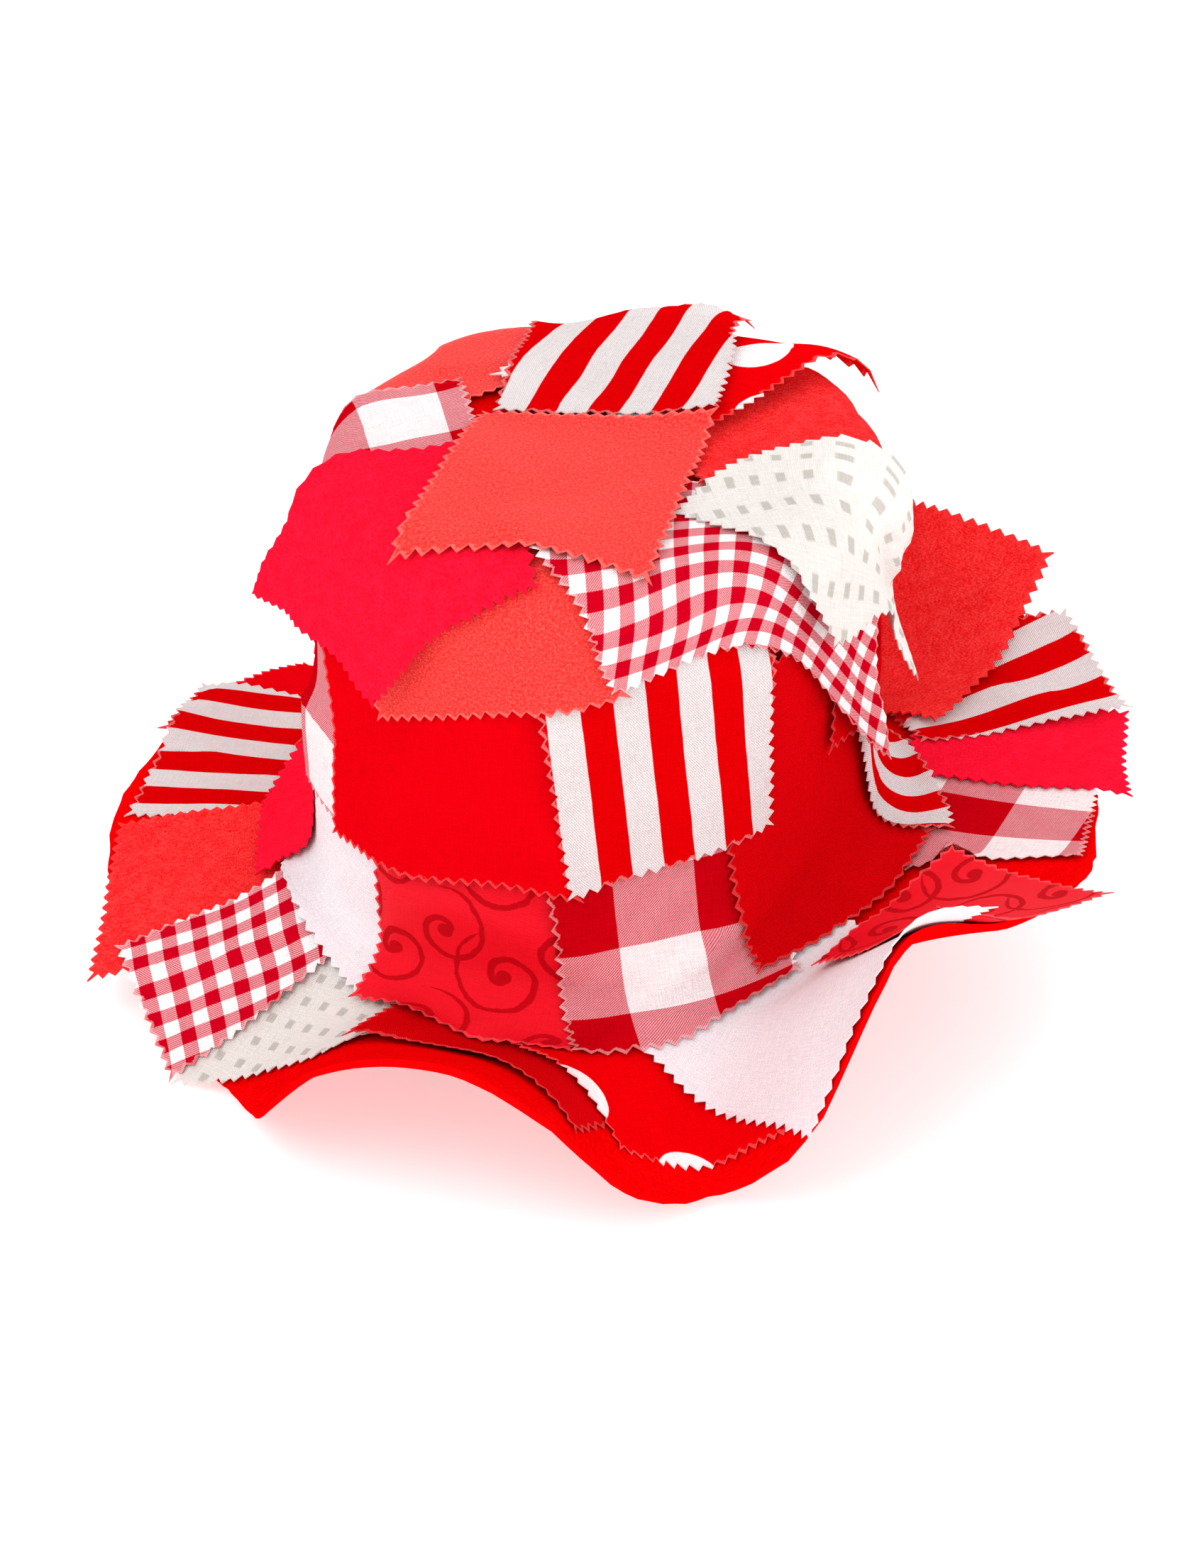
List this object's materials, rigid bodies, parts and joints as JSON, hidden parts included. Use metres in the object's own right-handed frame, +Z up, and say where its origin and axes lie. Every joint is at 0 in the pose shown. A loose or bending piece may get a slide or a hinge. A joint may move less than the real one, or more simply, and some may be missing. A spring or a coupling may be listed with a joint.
{
  "type": "patchwork felt hat",
  "caption": "Floppy felt hat with a round crown and a wavy brim, covered in overlapping pinked patches of cloth.",
  "frame": {"origin": "centre of the bounding box at its base, the plane that the lowest waves of the brim rest on", "axes": "+Z up through the crown, -Y to the front of the hat, +X to the wearer's left"},
  "size_m": [0.3638, 0.3538, 0.2129],
  "materials": {
    "felt": "napped wool felt with a paler cut edge",
    "grosgrain": "ribbed ribbon",
    "orange_red": "brushed cotton",
    "large_check": "plain gingham, 27 mm checks",
    "red_twill": "twill weave",
    "small_check": "twill gingham, 5 mm checks",
    "red_poplin": "plain weave",
    "stripes": "canvas, 12 mm red and white stripes",
    "jacquard": "thin satin with woven squares",
    "polka": "poplin, white dots of 24 mm",
    "white_poplin": "plain weave",
    "damask": "satin ground with matt scrolls",
    "crimson": "twill weave",
    "salmon": "crepe-backed satin"
  },
  "bodies": {
    "hat": {"felt_body": "felt", "sweatband": "grosgrain", "brim_back_left": "orange_red", "brim_back": "large_check", "brim_back_mid": "red_twill", "brim_back_right": "small_check", "brim_left_red": "red_poplin", "brim_left_stripes": "stripes", "brim_front_left_white": "jacquard", "brim_left_orange": "orange_red", "brim_front_left_check": "small_check", "brim_front_red": "red_twill", "brim_front_polka": "polka", "brim_front_white": "white_poplin", "brim_right_damask": "damask", "brim_right_check": "large_check", "brim_right_crimson": "crimson", "brim_right_stripes": "stripes", "low_left_white": "white_poplin", "low_left_crimson": "crimson", "low_back_left_polka": "polka", "low_back_white": "jacquard", "low_back_right_red": "red_poplin", "low_front_damask": "damask", "low_front_check": "large_check", "low_right_red": "red_twill", "low_right_stripes": "stripes", "brim_back_right_orange": "orange_red", "wall_left_check": "large_check", "wall_back_left_red": "red_twill", "wall_back_left_white": "white_poplin", "wall_back_right_salmon": "salmon", "wall_right_polka": "polka", "wall_right_dark": "red_twill", "wall_front_red": "red_poplin", "wall_front_stripes": "stripes", "rim_back_right_red": "red_twill", "rim_back_white": "white_poplin", "rim_back_left_salmon_root": "salmon", "rim_left_check": "large_check", "rim_front_salmon": "salmon", "rim_left_crimson_root": "crimson", "rim_front_check": "small_check", "rim_right_red": "orange_red", "rim_right_white_root": "jacquard", "crown_back_polka": "polka", "crown_back_stripes": "stripes", "crown_top_salmon": "salmon"},
    "back_left_salmon_flap": {"rim_back_left_salmon_flap": "salmon"},
    "left_crimson_flap": {"rim_left_crimson_flap": "crimson"},
    "right_white_flap": {"rim_right_white_flap": "jacquard"}
  },
  "joints": [
    {"name": "lift_back_left_salmon", "type": "hinge", "parent": "hat", "child": "back_left_salmon_flap", "pos_m": [-0.07069, 0.08298, 0.19272], "axis": [0.7234, 0.6904, 0], "range_deg": [0, 75]},
    {"name": "lift_left_crimson", "type": "hinge", "parent": "hat", "child": "left_crimson_flap", "pos_m": [-0.09752, -0.02681, 0.19589], "axis": [-0.3562, 0.9344, 0], "range_deg": [0, 75]},
    {"name": "lift_right_white", "type": "hinge", "parent": "hat", "child": "right_white_flap", "pos_m": [0.08308, -0.03278, 0.2017], "axis": [-0.3873, -0.922, 0], "range_deg": [0, 75]}
  ]
}
